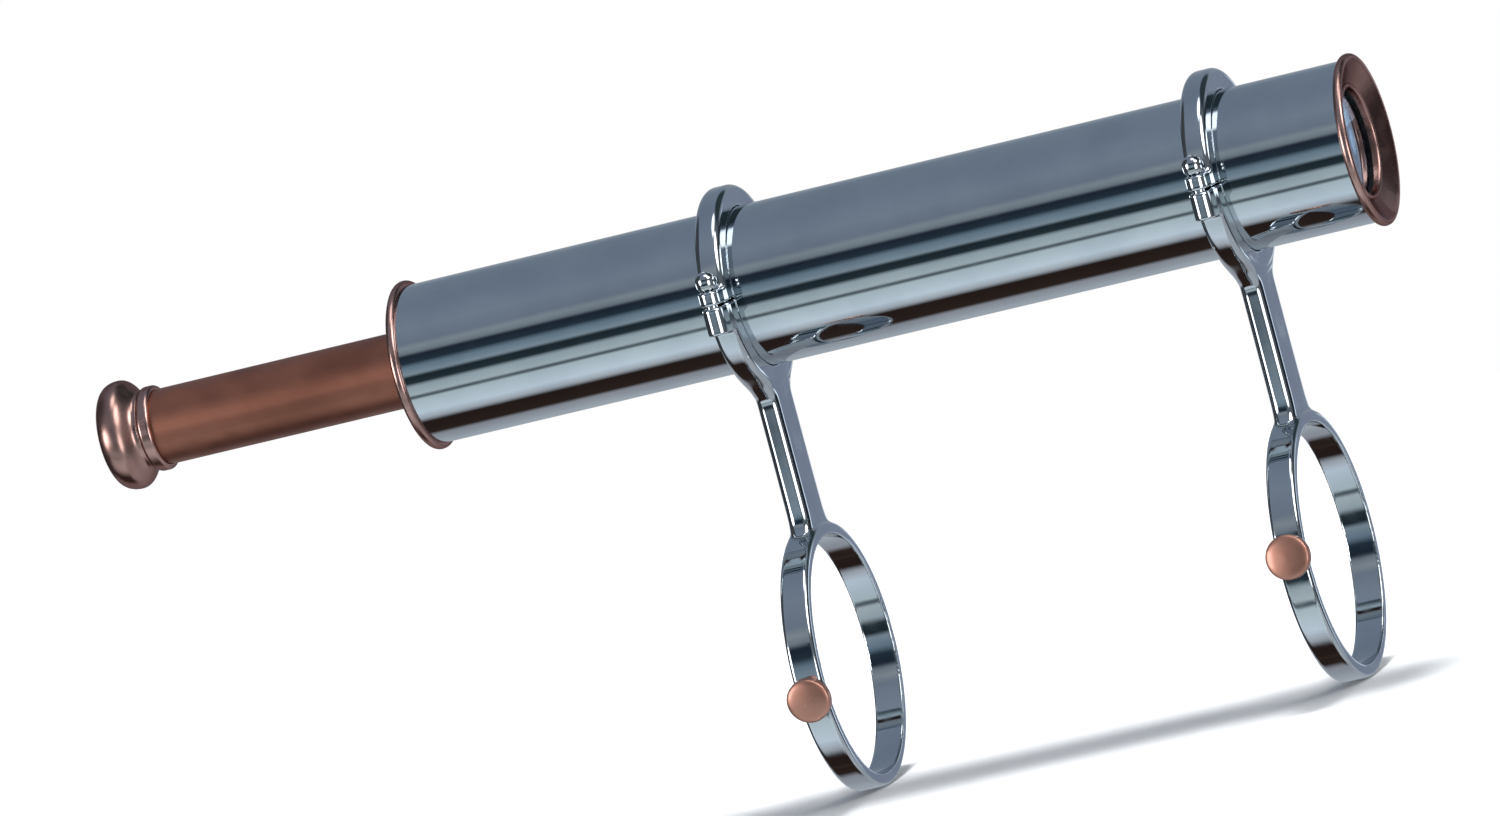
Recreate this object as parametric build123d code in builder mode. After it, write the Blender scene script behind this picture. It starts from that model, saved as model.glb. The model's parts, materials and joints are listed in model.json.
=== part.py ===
from build123d import *

import os
from math import sqrt

# Finder scope: a small refracting telescope held in two split rings, each on a cast stem with a
# band that clamps round the tube of a larger telescope.
# Frame: +X towards the objective, +Z from the large tube up to the finder, origin on the large
# tube's axis at the middle of the rear band. All sizes are in millimetres.

# ---- driving dimensions -------------------------------------------------------------------
MAIN_TUBE_R = 28.575          # the larger telescope's tube, 2 1/4 inch
TUBE_R = 19.0                 # finder body tube, outside
AXIS_GAP = 89.3               # large tube's axis to finder's axis
BRACKET_SPACING = 120.0       # rear bracket to front bracket
TUBE_REAR_X = -80.5           # ends of the body tube, measured from the rear bracket
TUBE_FRONT_X = 152.8
DRAW_R = 9.05                 # draw tube, outside
DRAW_SHOWING = 65.5           # draw tube seen between the end cap and the ferrule

# ---- fits ---------------------------------------------------------------------------------
RUN = 0.05                    # radial clearance of parts that slide or turn
SEAT = 0.02                   # radial clearance of parts that are soldered or screwed together

# ---- bracket castings ---------------------------------------------------------------------
BAND_BORE_R = MAIN_TUBE_R + 0.025
BAND_WALL = 3.0
BAND_WIDTH = 7.0
RING_BORE_R = TUBE_R + RUN
RING_WALL = 5.35
RING_WIDTH = 6.2
RING_ROUND = 1.8              # rounding of the rings' outer corners
BAND_ROUND = 1.1              # rounding of the bands' outer corners
SPLIT_GAP = 0.6               # gap between the two halves of a ring
STEM_THICKNESS = 5.4
STEM_ROUND = 2.2              # rounding of the stem's edges
STEM_TOP = (6.2, 62.1)        # half width and height where the stem meets the upper flare
STEM_FOOT = (7.2, 36.5)       # half width and height where the stem meets the lower flare
RING_FLARE_Y = 16.3           # how far round the ring and the band the flares reach
BAND_FLARE_Y = 16.2
FLARE_HOLLOW = 0.9            # how far the upper flare's edge bends in from a straight line
FLARE_BURIED = 0.4            # how deep the flares' tips end inside the ring and band walls

# ---- ring ears and their screws -----------------------------------------------------------
EAR_WIDTH = 5.0
EAR_NECK = 4.8                # straight part of an ear, between the ring and its round end
EAR_SCREW_Y = 27.3            # from the finder's axis to a screw's axis
CAP_EAR_HEIGHT = 3.4
BASE_EAR_HEIGHT = 6.4
SCREW_R = 1.45
SCREW_HEAD_R = 2.5
SCREW_HEAD_SIDE = 2.6         # straight part of the head, under its dome
SCREW_DOME = 2.1
SCREW_GRIP = 4.8              # screw engaged in the lower ear
SLOT_WIDTH = 0.8
SLOT_DEPTH = 1.3
SLOT_TURN = 25                # degrees that the slots stand off the tube's axis
SCREW_PASS = 0.15             # radial clearance of a screw in the cap's ear
TAP_SPARE = 0.5               # how far a tapped hole runs on past its screw

# ---- band screws --------------------------------------------------------------------------
BAND_SCREW_R = 2.0
BAND_SCREW_HEAD_R = 5.2
BAND_SCREW_HEAD = 2.6
BAND_SCREW_CROWN = 0.7
BOSS_R = 4.2
BOSS_FACE = 32.3              # from the large tube's axis to the boss's flat face
TIP_SETBACK = 0.3             # the screw's tip stands this far short of the bore
HEAD_GAP = 0.1                # between the screw's head and the boss
SCREW_RISE = {"rear": -7.0, "front": 6.0}  # degrees that each screw stands up from the -Y side

# ---- tube furniture -----------------------------------------------------------------------
TUBE_WALL = 1.2
LIP_R = 20.3                  # beaded lips of the end cap and the bezel
LIP_THICKNESS = 2.2
LIP_SHOULDER_R = 19.3
SPIGOT = 8.0                  # length of the plug that each cap puts into the body tube
APERTURE_R = 12.5
DISH_DEPTH = 2.8
BEAD_R = 0.65                 # raised ring round the objective's aperture
PLUG_WALL = 1.6

# ---- derived places -----------------------------------------------------------------------
TUBE_BORE_R = TUBE_R - TUBE_WALL
INNER_R = TUBE_BORE_R - SEAT
BAND_R = BAND_BORE_R + BAND_WALL
RING_R = RING_BORE_R + RING_WALL
CAP_FACE_X = TUBE_REAR_X - LIP_THICKNESS
FERRULE_X = CAP_FACE_X - DRAW_SHOWING
FINDER_AXIS = Axis((0, 0, AXIS_GAP), (1, 0, 0))
# Profiles of turned parts are drawn on this plane as (distance along X, radius).
TURNED = Plane(origin=(0, 0, AXIS_GAP), x_dir=(1, 0, 0), z_dir=(0, -1, 0))
BRACKETS = {"rear": 0.0, "front": BRACKET_SPACING}

os.makedirs("parts", exist_ok=True)


def save(part, name):
    """Labels a finished piece and writes it as its own file."""
    part.label = name
    export_step(part, f"parts/{name}.step")


def finder_section(x):
    """The plane across the finder's axis at x, with its own x along +Y and its y along +Z."""
    return Plane(origin=(x, 0, AXIS_GAP), x_dir=(0, 1, 0), z_dir=(1, 0, 0))


def across_band_screw(end, x):
    """The plane across a band screw's axis, through the large tube's axis and facing outwards."""
    return Plane(origin=(x, 0, 0), x_dir=(1, 0, 0), z_dir=(0, -1, 0)).rotated((-SCREW_RISE[end], 0, 0))


def on_flank(edge):
    """True for the long edges down the two sides of a bracket's web."""
    return abs(edge.center().Y) > STEM_TOP[0] - 1 and edge.length > RING_WIDTH


def on_circle(radius, across):
    """Height above a circle's centre of the point that lies this far across it."""
    return sqrt(radius**2 - across**2)


def wall_section(width, wall, corner):
    """Cross-section of a ring's wall, with its outer corners rounded."""
    with BuildSketch() as section:
        Rectangle(width, wall)
        fillet(section.vertices().group_by(Axis.Y)[-1], corner)
    return section.sketch


def ear_outline(side):
    """An ear seen from above: a neck from the ring and a round end about the screw."""
    with BuildSketch() as outline:
        with Locations((0, side * (EAR_SCREW_Y - EAR_NECK / 2))):
            Rectangle(EAR_WIDTH, EAR_NECK)
        with Locations((0, side * EAR_SCREW_Y)):
            Circle(EAR_WIDTH / 2)
    return outline.sketch


# ---- brackets: band, stem and lower half ring in one casting -------------------------------
for end, x in BRACKETS.items():
    ring_tip = (RING_FLARE_Y, AXIS_GAP - on_circle(RING_R - FLARE_BURIED, RING_FLARE_Y))
    band_tip = (BAND_FLARE_Y, on_circle(BAND_R - FLARE_BURIED, BAND_FLARE_Y))
    hollow = ((STEM_TOP[0] + ring_tip[0]) / 2, (STEM_TOP[1] + ring_tip[1]) / 2 + FLARE_HOLLOW)
    with BuildPart() as bracket:
        with BuildSketch(Plane.YZ.offset(x - STEM_THICKNESS / 2)):
            with BuildLine():
                Line((0, band_tip[1]), band_tip)
                TangentArc(STEM_FOOT, band_tip, tangent=(0, -1))
                Line(STEM_FOOT, STEM_TOP)
                ThreePointArc(STEM_TOP, hollow, ring_tip)
                Line(ring_tip, (0, ring_tip[1]))
                mirror(about=Plane.YZ)
            make_face()
            # The web ends inside the walls of the band and the ring, clear of their bores.
            Circle(BAND_BORE_R + BAND_WALL / 2, mode=Mode.SUBTRACT)
            with Locations((0, AXIS_GAP)):
                Circle(RING_BORE_R + RING_WALL / 2, mode=Mode.SUBTRACT)
        extrude(amount=STEM_THICKNESS)
        fillet(bracket.edges().filter_by(Plane.YZ).filter_by(on_flank), STEM_ROUND)
        with BuildSketch(Plane.XZ):
            with Locations((x, BAND_BORE_R + BAND_WALL / 2)):
                add(wall_section(BAND_WIDTH, BAND_WALL, BAND_ROUND))
        revolve(axis=Axis.X)
        with BuildSketch(TURNED):
            with Locations((x, RING_BORE_R + RING_WALL / 2)):
                add(wall_section(RING_WIDTH, RING_WALL, RING_ROUND))
        revolve(axis=FINDER_AXIS)
        # The casting keeps only the lower half of its ring, with ears tapped for the screws.
        ear_top = AXIS_GAP - SPLIT_GAP / 2
        with BuildSketch(Plane.XY.offset(ear_top)):
            with Locations((x, 0)):
                Rectangle(3 * RING_WIDTH, 3 * RING_R)
        extrude(amount=2 * RING_R, mode=Mode.SUBTRACT)
        for side in (-1, 1):
            with BuildSketch(Plane.XY.offset(ear_top - BASE_EAR_HEIGHT)):
                with Locations((x, 0)):
                    add(ear_outline(side))
            extrude(amount=BASE_EAR_HEIGHT)
        with Locations((x, -EAR_SCREW_Y, ear_top), (x, EAR_SCREW_Y, ear_top)):
            Hole(SCREW_R + RUN, depth=SCREW_GRIP + TAP_SPARE)
        # Boss on the near side of the band, bored for the band screw.
        screw_side = across_band_screw(end, x)
        with BuildSketch(screw_side.offset(BAND_BORE_R + BAND_WALL / 2)):
            Circle(BOSS_R)
        extrude(amount=BOSS_FACE - BAND_BORE_R - BAND_WALL / 2)
        with BuildSketch(screw_side.offset(BAND_BORE_R - BAND_WALL)):
            Circle(BAND_SCREW_R + RUN)
        extrude(amount=BOSS_FACE, mode=Mode.SUBTRACT)
    save(bracket.part, f"{end}_bracket")

    # ---- ring cap: the upper half of the split ring ----------------------------------------
    with BuildPart() as ring_cap:
        with BuildSketch(TURNED):
            with Locations((x, RING_BORE_R + RING_WALL / 2)):
                add(wall_section(RING_WIDTH, RING_WALL, RING_ROUND))
        revolve(axis=FINDER_AXIS)
        cap_floor = AXIS_GAP + SPLIT_GAP / 2
        with BuildSketch(Plane.XY.offset(cap_floor)):
            with Locations((x, 0)):
                Rectangle(3 * RING_WIDTH, 3 * RING_R)
        extrude(amount=-2 * RING_R, mode=Mode.SUBTRACT)
        for side in (-1, 1):
            with BuildSketch(Plane.XY.offset(cap_floor)):
                with Locations((x, 0)):
                    add(ear_outline(side))
            extrude(amount=CAP_EAR_HEIGHT)
        ear_face = cap_floor + CAP_EAR_HEIGHT
        with Locations((x, -EAR_SCREW_Y, ear_face), (x, EAR_SCREW_Y, ear_face)):
            Hole(SCREW_R + SCREW_PASS, depth=CAP_EAR_HEIGHT)
    save(ring_cap.part, f"{end}_ring_cap")

    # ---- ring screws: a slotted domed head on a plain shank --------------------------------
    with BuildPart() as ring_screws:
        for side in (-1, 1):
            centre = Plane.XZ.offset(-side * EAR_SCREW_Y)
            dome_top = ear_face + SCREW_HEAD_SIDE + SCREW_DOME
            with BuildSketch(centre):
                with BuildLine():
                    Polyline(
                        (x, dome_top),
                        (x, ear_top - SCREW_GRIP),
                        (x + SCREW_R, ear_top - SCREW_GRIP),
                        (x + SCREW_R, ear_face),
                        (x + SCREW_HEAD_R, ear_face),
                        (x + SCREW_HEAD_R, ear_face + SCREW_HEAD_SIDE),
                    )
                    TangentArc(
                        (x, dome_top),
                        (x + SCREW_HEAD_R, ear_face + SCREW_HEAD_SIDE),
                        tangent=(1, 0),
                    )
                make_face()
            revolve(axis=Axis((x, side * EAR_SCREW_Y, 0), (0, 0, 1)))
            with BuildSketch(Plane.XY.offset(dome_top - SLOT_DEPTH)):
                with Locations((x, side * EAR_SCREW_Y)):
                    Rectangle(3 * SCREW_HEAD_R, SLOT_WIDTH, rotation=SLOT_TURN)
            extrude(amount=SLOT_DEPTH, mode=Mode.SUBTRACT)
    save(ring_screws.part, f"{end}_ring_screws")

    # ---- band screw: a crowned round head on a plain shank ---------------------------------
    with BuildPart() as band_screw:
        head_seat = BOSS_FACE + HEAD_GAP
        head_edge = head_seat + BAND_SCREW_HEAD
        tip = BAND_BORE_R + TIP_SETBACK
        outwards = across_band_screw(end, x).z_dir
        with BuildSketch(Plane(origin=(x, 0, 0), x_dir=(1, 0, 0), z_dir=Vector(1, 0, 0).cross(outwards))):
            with BuildLine():
                Polyline(
                    (0, head_edge + BAND_SCREW_CROWN),
                    (0, tip),
                    (BAND_SCREW_R, tip),
                    (BAND_SCREW_R, head_seat),
                    (BAND_SCREW_HEAD_R, head_seat),
                    (BAND_SCREW_HEAD_R, head_edge),
                )
                TangentArc(
                    (0, head_edge + BAND_SCREW_CROWN),
                    (BAND_SCREW_HEAD_R, head_edge),
                    tangent=(1, 0),
                )
            make_face()
        revolve(axis=Axis((x, 0, 0), outwards))
    save(band_screw.part, f"{end}_band_screw")

# ---- body tube ----------------------------------------------------------------------------
with BuildPart() as body_tube:
    with BuildSketch(finder_section(TUBE_REAR_X)):
        Circle(TUBE_R)
        Circle(TUBE_BORE_R, mode=Mode.SUBTRACT)
    extrude(amount=TUBE_FRONT_X - TUBE_REAR_X)
save(body_tube.part, "body_tube")

# ---- objective bezel: beaded lip, dished face, raised ring round the aperture --------------
BEZEL_FACE_X = TUBE_FRONT_X + LIP_THICKNESS
DISH_FLOOR_X = BEZEL_FACE_X - DISH_DEPTH
BEZEL_BACK_X = TUBE_FRONT_X - SPIGOT
BEZEL_WALL_X = DISH_FLOOR_X - 1.2
CELL_R = 16.2                 # the cell that holds the lenses, screwed into the bezel's plug
LIP_STEP = (0.4, 0.9)         # bevel inside the beaded lip: depth and width
with BuildPart() as objective_bezel:
    with BuildSketch(TURNED):
        with BuildLine():
            Line((BEZEL_BACK_X, INNER_R), (TUBE_FRONT_X, INNER_R))
            Line((TUBE_FRONT_X, INNER_R), (TUBE_FRONT_X, LIP_SHOULDER_R))
            ThreePointArc(
                (TUBE_FRONT_X, LIP_SHOULDER_R),
                (TUBE_FRONT_X + LIP_THICKNESS / 2, LIP_R),
                (BEZEL_FACE_X, LIP_SHOULDER_R),
            )
            Polyline(
                (BEZEL_FACE_X, LIP_SHOULDER_R),
                (BEZEL_FACE_X - LIP_STEP[0], LIP_SHOULDER_R - LIP_STEP[1]),
                (DISH_FLOOR_X, APERTURE_R + 2 * BEAD_R),
            )
            ThreePointArc(
                (DISH_FLOOR_X, APERTURE_R + 2 * BEAD_R),
                (DISH_FLOOR_X + BEAD_R, APERTURE_R + BEAD_R),
                (DISH_FLOOR_X, APERTURE_R),
            )
            Polyline(
                (DISH_FLOOR_X, APERTURE_R),
                (BEZEL_WALL_X, APERTURE_R),
                (BEZEL_WALL_X, CELL_R + SEAT),
                (BEZEL_BACK_X, CELL_R + SEAT),
                (BEZEL_BACK_X, INNER_R),
            )
        make_face()
    revolve(axis=FINDER_AXIS)
save(objective_bezel.part, "objective_bezel")

# ---- objective cell: a sleeve with a front shoulder that the lenses seat against -----------
LENS_R = 15.0
CELL_FRONT_X = BEZEL_WALL_X - RUN
CELL_SHOULDER = 0.8
SEAT_X = CELL_FRONT_X - CELL_SHOULDER
CELL_LENGTH = 12.0
SEAT_BORE_R = 13.4
with BuildPart() as objective_cell:
    with BuildSketch(TURNED):
        with BuildLine():
            Polyline(
                (CELL_FRONT_X - CELL_LENGTH, CELL_R),
                (CELL_FRONT_X, CELL_R),
                (CELL_FRONT_X, SEAT_BORE_R),
                (SEAT_X, SEAT_BORE_R),
                (SEAT_X, LENS_R + RUN),
                (CELL_FRONT_X - CELL_LENGTH, LENS_R + RUN),
                close=True,
            )
        make_face()
    revolve(axis=FINDER_AXIS)
save(objective_cell.part, "objective_cell")

# ---- objective doublet: crown lens in front, flint lens behind -----------------------------
CROWN_SAG = 0.95              # bulge of the crown lens's front face
INNER_SAG = 1.40              # bulge of the faces where the two lenses meet
SEAT_GAP = 0.2                # between the shoulder and the crown lens
CROWN_EDGE_X = SEAT_X - SEAT_GAP
CROWN_EDGE = 2.0
LENS_AIR_GAP = 0.05
FLINT_EDGE = 3.2
crown_back_x = CROWN_EDGE_X - CROWN_EDGE
with BuildPart() as crown_lens:
    with BuildSketch(TURNED):
        with BuildLine():
            TangentArc(
                (CROWN_EDGE_X + CROWN_SAG, 0), (CROWN_EDGE_X, LENS_R), tangent=(0, 1)
            )
            Line((CROWN_EDGE_X, LENS_R), (crown_back_x, LENS_R))
            TangentArc((crown_back_x - INNER_SAG, 0), (crown_back_x, LENS_R), tangent=(0, 1))
            Line((crown_back_x - INNER_SAG, 0), (CROWN_EDGE_X + CROWN_SAG, 0))
        make_face()
    revolve(axis=FINDER_AXIS)
save(crown_lens.part, "crown_lens")

flint_front_x = crown_back_x - LENS_AIR_GAP
flint_back_x = flint_front_x - FLINT_EDGE
with BuildPart() as flint_lens:
    with BuildSketch(TURNED):
        with BuildLine():
            TangentArc(
                (flint_front_x - INNER_SAG, 0), (flint_front_x, LENS_R), tangent=(0, 1)
            )
            Polyline(
                (flint_front_x, LENS_R),
                (flint_back_x, LENS_R),
                (flint_back_x, 0),
                (flint_front_x - INNER_SAG, 0),
            )
        make_face()
    revolve(axis=FINDER_AXIS)
save(flint_lens.part, "flint_lens")

# ---- retaining ring behind the lenses, with two notches for a pin spanner ------------------
RETAINER_WIDTH = 2.5
NOTCH_LENGTH = 4.0
NOTCH_WIDTH = 1.2
with BuildPart() as lens_retaining_ring:
    with BuildSketch(finder_section(flint_back_x - RETAINER_WIDTH)):
        Circle(LENS_R + RUN - SEAT)
        Circle(SEAT_BORE_R, mode=Mode.SUBTRACT)
    extrude(amount=RETAINER_WIDTH)
    with BuildSketch(finder_section(flint_back_x - RETAINER_WIDTH)):
        with PolarLocations(LENS_R, 2):
            Rectangle(NOTCH_LENGTH, NOTCH_WIDTH)
    extrude(amount=NOTCH_WIDTH, mode=Mode.SUBTRACT)
save(lens_retaining_ring.part, "lens_retaining_ring")

# ---- tube baffle: a flanged light stop part of the way down the body tube ------------------
BAFFLE_X = 75.0
BAFFLE_FLANGE = 5.0
BAFFLE_WALL = 0.8
with BuildPart() as tube_baffle:
    with BuildSketch(TURNED):
        with BuildLine():
            Polyline(
                (BAFFLE_X, INNER_R),
                (BAFFLE_X + BAFFLE_FLANGE, INNER_R),
                (BAFFLE_X + BAFFLE_FLANGE, INNER_R - BAFFLE_WALL),
                (BAFFLE_X + BAFFLE_WALL, INNER_R - BAFFLE_WALL),
                (BAFFLE_X + BAFFLE_WALL, APERTURE_R),
                (BAFFLE_X, APERTURE_R),
                close=True,
            )
        make_face()
    revolve(axis=FINDER_AXIS)
save(tube_baffle.part, "tube_baffle")

# ---- rear end cap: beaded lip, plug into the tube, raised collar round the draw tube -------
SLEEVE_R = 10.6
COLLAR_R = 12.0
COLLAR_BEVEL = 0.6
COLLAR_HEIGHT = 1.2
CAP_FLOOR = 1.5               # thickness of the cap's disc, inside the body tube
with BuildPart() as end_cap:
    with BuildSketch(TURNED):
        with BuildLine():
            Line((TUBE_REAR_X + SPIGOT, INNER_R), (TUBE_REAR_X, INNER_R))
            Line((TUBE_REAR_X, INNER_R), (TUBE_REAR_X, LIP_SHOULDER_R))
            ThreePointArc(
                (TUBE_REAR_X, LIP_SHOULDER_R),
                (TUBE_REAR_X - LIP_THICKNESS / 2, LIP_R),
                (CAP_FACE_X, LIP_SHOULDER_R),
            )
            Polyline(
                (CAP_FACE_X, LIP_SHOULDER_R),
                (CAP_FACE_X, COLLAR_R + COLLAR_BEVEL),
                (CAP_FACE_X - COLLAR_HEIGHT, COLLAR_R),
                (CAP_FACE_X - COLLAR_HEIGHT, SLEEVE_R + SEAT),
                (TUBE_REAR_X + CAP_FLOOR, SLEEVE_R + SEAT),
                (TUBE_REAR_X + CAP_FLOOR, INNER_R - PLUG_WALL),
                (TUBE_REAR_X + SPIGOT, INNER_R - PLUG_WALL),
                (TUBE_REAR_X + SPIGOT, INNER_R),
            )
        make_face()
    revolve(axis=FINDER_AXIS)
save(end_cap.part, "end_cap")

# ---- guide sleeve and its felt liner, which grip the draw tube -----------------------------
SLEEVE_BORE_R = 9.9
SLEEVE_FRONT_X = -57.0
SLEEVE_REAR_X = CAP_FACE_X - COLLAR_HEIGHT
SLEEVE_LIP = 1.2              # inward lip that keeps the felt in
with BuildPart() as draw_guide_sleeve:
    with BuildSketch(TURNED):
        with BuildLine():
            Polyline(
                (SLEEVE_REAR_X, SLEEVE_R),
                (SLEEVE_FRONT_X, SLEEVE_R),
                (SLEEVE_FRONT_X, DRAW_R + 2 * RUN),
                (SLEEVE_FRONT_X - SLEEVE_LIP, DRAW_R + 2 * RUN),
                (SLEEVE_FRONT_X - SLEEVE_LIP, SLEEVE_BORE_R),
                (SLEEVE_REAR_X, SLEEVE_BORE_R),
                close=True,
            )
        make_face()
    revolve(axis=FINDER_AXIS)
save(draw_guide_sleeve.part, "draw_guide_sleeve")

FELT_REAR_X = SLEEVE_REAR_X + 0.3
FELT_FRONT_X = SLEEVE_FRONT_X - SLEEVE_LIP - 0.1
with BuildPart() as felt_liner:
    with BuildSketch(finder_section(FELT_REAR_X)):
        Circle(SLEEVE_BORE_R - SEAT)
        Circle(DRAW_R + RUN, mode=Mode.SUBTRACT)
    extrude(amount=FELT_FRONT_X - FELT_REAR_X)
save(felt_liner.part, "felt_liner")

# ---- draw tube ----------------------------------------------------------------------------
DRAW_WALL = 0.8
DRAW_BORE_R = DRAW_R - DRAW_WALL
FERRULE_LENGTH = 3.2
DRAW_FRONT_X = -41.0
DRAW_INSET = 0.5              # the tube's end, inside the ferrule
DRAW_REAR_X = FERRULE_X - FERRULE_LENGTH + DRAW_INSET
with BuildPart() as draw_tube:
    with BuildSketch(finder_section(DRAW_REAR_X)):
        Circle(DRAW_R)
        Circle(DRAW_BORE_R, mode=Mode.SUBTRACT)
    extrude(amount=DRAW_FRONT_X - DRAW_REAR_X)
save(draw_tube.part, "draw_tube")

# ---- stop bush on the draw tube's inner end: keeps it from being pulled out ----------------
STOP_R = 10.4
STOP_LENGTH = 4.0
STOP_END = 1.0                # thickness of the bush's end, past the draw tube
STOP_BORE_R = 6.5
with BuildPart() as draw_stop_bush:
    with BuildSketch(TURNED):
        with BuildLine():
            Polyline(
                (DRAW_FRONT_X - STOP_LENGTH, STOP_R),
                (DRAW_FRONT_X + STOP_END, STOP_R),
                (DRAW_FRONT_X + STOP_END, STOP_BORE_R),
                (DRAW_FRONT_X, STOP_BORE_R),
                (DRAW_FRONT_X, DRAW_R + SEAT),
                (DRAW_FRONT_X - STOP_LENGTH, DRAW_R + SEAT),
                close=True,
            )
        make_face()
    revolve(axis=FINDER_AXIS)
save(draw_stop_bush.part, "draw_stop_bush")

# ---- ferrule: the collar soldered over the draw tube's outer end ---------------------------
FERRULE_R = 10.2
FERRULE_ROUND = 0.9
with BuildPart() as draw_ferrule:
    with BuildSketch(finder_section(FERRULE_X - FERRULE_LENGTH)):
        Circle(FERRULE_R)
        Circle(DRAW_R + SEAT, mode=Mode.SUBTRACT)
    extrude(amount=FERRULE_LENGTH)
    rims = draw_ferrule.edges().filter_by(GeomType.CIRCLE).group_by(SortBy.RADIUS)[-1]
    fillet(rims, FERRULE_ROUND)
save(draw_ferrule.part, "draw_ferrule")

# ---- eyepiece cup: a flared bell with a dished face round the eye hole ---------------------
CUP_FLANGE_X = FERRULE_X - FERRULE_LENGTH
CUP_SPIGOT = 6.0
CUP_R = 13.1
CUP_RIM = 5.6                 # from the flange back to the widest part
CUP_DEPTH = 9.8               # from the flange back to the crown of the rim
CUP_CROWN_R = 9.6
EYE_HOLE_R = 4.6
EYE_LENS_R = 7.5
NECK_R = 9.35
PLUG_R = DRAW_BORE_R - SEAT
EYE_LENS_X = CUP_FLANGE_X - 3.2
with BuildPart() as eyepiece_cup:
    with BuildSketch(TURNED):
        with BuildLine():
            Polyline(
                (CUP_FLANGE_X + CUP_SPIGOT, EYE_LENS_R + RUN),
                (CUP_FLANGE_X + CUP_SPIGOT, PLUG_R),
                (CUP_FLANGE_X, PLUG_R),
                (CUP_FLANGE_X, NECK_R + 0.3),
                (CUP_FLANGE_X - 0.5, NECK_R),
            )
            Spline(
                (CUP_FLANGE_X - 0.5, NECK_R),
                (CUP_FLANGE_X - 2.65, NECK_R + 1.85),
                (CUP_FLANGE_X - CUP_RIM, CUP_R),
                tangents=[(-1, 0.1), (-1, 0)],
            )
            Spline(
                (CUP_FLANGE_X - CUP_RIM, CUP_R),
                (CUP_FLANGE_X - CUP_RIM - 3.1, CUP_R - 0.9),
                (CUP_FLANGE_X - CUP_DEPTH, CUP_CROWN_R),
                tangents=[(-1, 0), (0, -1)],
            )
            Spline(
                (CUP_FLANGE_X - CUP_DEPTH, CUP_CROWN_R),
                (CUP_FLANGE_X - CUP_DEPTH + 1.5, CUP_CROWN_R - 2.2),
                (EYE_LENS_X - 1.1, EYE_HOLE_R),
                tangents=[(0, -1), (0.5, -1)],
            )
            Polyline(
                (EYE_LENS_X - 1.1, EYE_HOLE_R),
                (EYE_LENS_X, EYE_HOLE_R),
                (EYE_LENS_X, EYE_LENS_R + RUN),
                (CUP_FLANGE_X + CUP_SPIGOT, EYE_LENS_R + RUN),
            )
        make_face()
    revolve(axis=FINDER_AXIS)
save(eyepiece_cup.part, "eyepiece_cup")

# ---- eye lens, flat towards the eye, and its retaining ring --------------------------------
EYE_LENS_EDGE = 1.6
EYE_LENS_SAG = 1.5
with BuildPart() as eye_lens:
    with BuildSketch(TURNED):
        with BuildLine():
            Polyline(
                (EYE_LENS_X + EYE_LENS_EDGE + EYE_LENS_SAG, 0),
                (EYE_LENS_X, 0),
                (EYE_LENS_X, EYE_LENS_R),
                (EYE_LENS_X + EYE_LENS_EDGE, EYE_LENS_R),
            )
            TangentArc(
                (EYE_LENS_X + EYE_LENS_EDGE + EYE_LENS_SAG, 0),
                (EYE_LENS_X + EYE_LENS_EDGE, EYE_LENS_R),
                tangent=(0, 1),
            )
        make_face()
    revolve(axis=FINDER_AXIS)
save(eye_lens.part, "eye_lens")

RETAINER_GAP = 0.5
EYE_RETAINER_WALL = 1.1
EYE_RETAINER_X = EYE_LENS_X + EYE_LENS_EDGE + RETAINER_GAP
with BuildPart() as eye_lens_retainer:
    with BuildSketch(finder_section(EYE_RETAINER_X)):
        Circle(EYE_LENS_R + RUN - SEAT)
        Circle(EYE_LENS_R - EYE_RETAINER_WALL, mode=Mode.SUBTRACT)
    extrude(amount=2.0)
save(eye_lens_retainer.part, "eye_lens_retainer")

# ---- lens spacer and field lens, flat towards the objective's side -------------------------
SPACER_LENGTH = 11.0
SPACER_WALL = 0.8
SPACER_X = CUP_FLANGE_X + CUP_SPIGOT
FIELD_LENS_EDGE = 1.6
FIELD_LENS_SAG = 1.4
with BuildPart() as lens_spacer:
    with BuildSketch(finder_section(SPACER_X)):
        Circle(PLUG_R)
        Circle(PLUG_R - SPACER_WALL, mode=Mode.SUBTRACT)
    extrude(amount=SPACER_LENGTH)
save(lens_spacer.part, "lens_spacer")

FIELD_LENS_X = SPACER_X + SPACER_LENGTH + 0.3
FIELD_LENS_R = PLUG_R
with BuildPart() as field_lens:
    with BuildSketch(TURNED):
        with BuildLine():
            Polyline(
                (FIELD_LENS_X - FIELD_LENS_SAG, 0),
                (FIELD_LENS_X + FIELD_LENS_EDGE, 0),
                (FIELD_LENS_X + FIELD_LENS_EDGE, FIELD_LENS_R),
                (FIELD_LENS_X, FIELD_LENS_R),
            )
            TangentArc(
                (FIELD_LENS_X - FIELD_LENS_SAG, 0), (FIELD_LENS_X, FIELD_LENS_R), tangent=(0, 1)
            )
        make_face()
    revolve(axis=FINDER_AXIS)
save(field_lens.part, "field_lens")

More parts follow.
